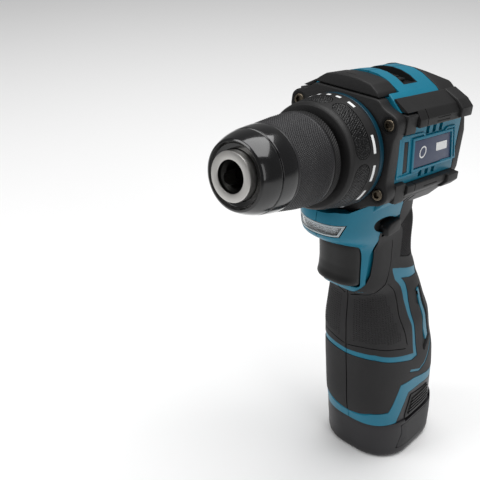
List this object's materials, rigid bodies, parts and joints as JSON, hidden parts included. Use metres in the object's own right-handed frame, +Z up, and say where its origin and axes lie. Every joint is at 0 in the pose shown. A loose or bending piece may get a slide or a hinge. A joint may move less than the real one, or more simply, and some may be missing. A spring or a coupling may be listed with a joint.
{
  "type": "cordless drill",
  "caption": "Pistol-grip cordless drill driver with keyless chuck, torque collar, speed and direction selectors, trigger, and a battery stick that slides out of the grip.",
  "frame": {"origin": "centre of the battery foot's flat bottom", "axes": "+Z up from the surface it stands on, -Y the way the chuck points, +X the drill's left side"},
  "size_m": [0.066, 0.1651, 0.2391],
  "materials": {
    "teal_plastic": "fine satin moulding",
    "charcoal_plastic": "fine matte moulding",
    "gloss_black": "polished black",
    "black_plastic": "matte black",
    "overmold_rubber": "soft-touch, dotted",
    "collar_rubber": "pebbled",
    "bright_steel": "turned and brushed",
    "dark_steel": "oiled",
    "brass": "plain",
    "dark_teal": "satin",
    "label_print": "printed plate",
    "clear_lens": "clear",
    "board": "circuit board",
    "cell_jacket": "shrink-sleeved cell"
  },
  "bodies": {
    "housing": {"housing_left": "teal_plastic", "housing_right": "teal_plastic", "grip_overmold_left": "overmold_rubber", "grip_overmold_right": "overmold_rubber", "gear_case": "charcoal_plastic", "flange_screw_top_left": "dark_steel", "flange_screw_top_right": "dark_steel", "flange_screw_bottom_left": "dark_steel", "flange_screw_bottom_right": "dark_steel", "ring_gear": "dark_steel", "spindle_bearing": "dark_steel", "collar_base_ring": "dark_teal", "clutch_spring": "bright_steel", "top_shroud": "charcoal_plastic", "rear_cap": "charcoal_plastic", "upper_rail_left": "charcoal_plastic", "upper_rail_right": "charcoal_plastic", "lower_rail_left": "charcoal_plastic", "lower_rail_right": "charcoal_plastic", "label_plate_left": "label_print", "label_plate_right": "label_print", "housing_screw_neck": "dark_steel", "housing_screw_grip_rear": "dark_steel", "housing_screw_grip_front": "dark_steel", "led_lens": "clear_lens", "led_board": "board", "trigger_switch": "charcoal_plastic", "trigger_spring": "bright_steel", "control_board": "board", "terminal_receiver": "black_plastic", "motor_can": "bright_steel", "rear_bearing": "brass"},
    "spindle": {"output_spindle": "dark_steel", "chuck_body": "bright_steel", "chuck_rear_ring": "charcoal_plastic"},
    "chuck_sleeve": {"chuck_front_cap": "gloss_black", "chuck_grip_sleeve": "charcoal_plastic", "chuck_nut": "dark_steel"},
    "rotor": {"motor_rotor": "dark_steel", "motor_fan": "black_plastic"},
    "collar": {"torque_collar": "charcoal_plastic", "collar_grip_ring": "collar_rubber"},
    "selector": {"speed_selector": "black_plastic"},
    "shift_ring": {"speed_shift_ring": "brass"},
    "trigger_blade": {"trigger": "black_plastic"},
    "lever": {"direction_lever": "black_plastic"},
    "battery": {"battery_case": "gloss_black", "battery_cell_1": "cell_jacket", "battery_cell_2": "cell_jacket", "battery_cell_3": "cell_jacket", "battery_cell_4": "cell_jacket", "battery_terminals": "brass"},
    "latch_left": {"battery_latch_left": "charcoal_plastic"},
    "latch_right": {"battery_latch_right": "charcoal_plastic"},
    "jaw_1": {"chuck_jaw_1": "dark_steel"},
    "planet_1": {"planet_gear_1": "dark_steel"},
    "jaw_2": {"chuck_jaw_2": "dark_steel"},
    "planet_2": {"planet_gear_2": "dark_steel"},
    "jaw_3": {"chuck_jaw_3": "dark_steel"},
    "planet_3": {"planet_gear_3": "dark_steel"}
  },
  "joints": [
    {"name": "spindle_spin", "type": "hinge", "parent": "housing", "child": "spindle", "pos_m": [0, -0.0597, 0.2049], "axis": [0, -0.9888, 0.1495], "continuous": true},
    {"name": "rotor_spin", "type": "hinge", "parent": "housing", "child": "rotor", "pos_m": [0, -0.0597, 0.2049], "axis": [0, -0.9888, 0.1495], "continuous": true},
    {"name": "sleeve_turn", "type": "hinge", "parent": "spindle", "child": "chuck_sleeve", "pos_m": [0, -0.0597, 0.2049], "axis": [0, -0.9888, 0.1495], "range_deg": [-2160, 720]},
    {"name": "collar_turn", "type": "hinge", "parent": "housing", "child": "collar", "pos_m": [0, -0.0597, 0.2049], "axis": [0, -0.9888, 0.1495], "range_deg": [-150, 150]},
    {"name": "selector_slide", "type": "slide", "parent": "housing", "child": "selector", "axis": [0, 0.9888, -0.1495], "range_m": [0, 0.0046]},
    {"name": "shift_ring_slide", "type": "slide", "parent": "housing", "child": "shift_ring", "axis": [0, 0.9888, -0.1495], "range_m": [0, 0.0047]},
    {"name": "trigger_pull", "type": "slide", "parent": "housing", "child": "trigger_blade", "axis": [0, 1, 0], "range_m": [0, 0.007], "stiffness_N_per_m": 700, "springref_m": -0.004},
    {"name": "lever_slide", "type": "slide", "parent": "housing", "child": "lever", "axis": [1, 0, 0], "range_m": [-0.003, 0.003]},
    {"name": "battery_release", "type": "slide", "parent": "housing", "child": "battery", "axis": [0, 0, -1], "range_m": [0, 0.07]},
    {"name": "latch_left_press", "type": "slide", "parent": "battery", "child": "latch_left", "axis": [-1, 0, 0], "range_m": [0, 0.0023], "stiffness_N_per_m": 800, "springref_m": -0.001},
    {"name": "latch_right_press", "type": "slide", "parent": "battery", "child": "latch_right", "axis": [1, 0, 0], "range_m": [0, 0.0023], "stiffness_N_per_m": 800, "springref_m": -0.001},
    {"name": "jaw_1_slide", "type": "slide", "parent": "spindle", "child": "jaw_1", "axis": [0, 0.9917, 0.1288], "range_m": [-0.012, 0.004]},
    {"name": "planet_1_spin", "type": "hinge", "parent": "spindle", "child": "planet_1", "pos_m": [0, -0.06644, 0.21381], "axis": [0, -0.9888, 0.1495], "continuous": true},
    {"name": "jaw_2_slide", "type": "slide", "parent": "spindle", "child": "jaw_2", "axis": [0.2387, 0.9298, -0.28], "range_m": [-0.012, 0.004]},
    {"name": "planet_2_spin", "type": "hinge", "parent": "spindle", "child": "planet_2", "pos_m": [0.00675, -0.06819, 0.20224], "axis": [0, -0.9888, 0.1495], "continuous": true},
    {"name": "jaw_3_slide", "type": "slide", "parent": "spindle", "child": "jaw_3", "axis": [-0.2387, 0.9298, -0.28], "range_m": [-0.012, 0.004]},
    {"name": "planet_3_spin", "type": "hinge", "parent": "spindle", "child": "planet_3", "pos_m": [-0.00675, -0.06819, 0.20224], "axis": [0, -0.9888, 0.1495], "continuous": true}
  ],
  "couplings": [
    {"joint": "rotor_spin", "follows": "spindle_spin", "ratio": 5},
    {"joint": "shift_ring_slide", "follows": "selector_slide", "ratio": 1},
    {"joint": "jaw_1_slide", "follows": "sleeve_turn", "m_per_rad": 0.00031831},
    {"joint": "planet_1_spin", "follows": "spindle_spin", "ratio": -2.6667},
    {"joint": "jaw_2_slide", "follows": "sleeve_turn", "m_per_rad": 0.00031831},
    {"joint": "planet_2_spin", "follows": "spindle_spin", "ratio": -2.6667},
    {"joint": "jaw_3_slide", "follows": "sleeve_turn", "m_per_rad": 0.00031831},
    {"joint": "planet_3_spin", "follows": "spindle_spin", "ratio": -2.6667}
  ]
}
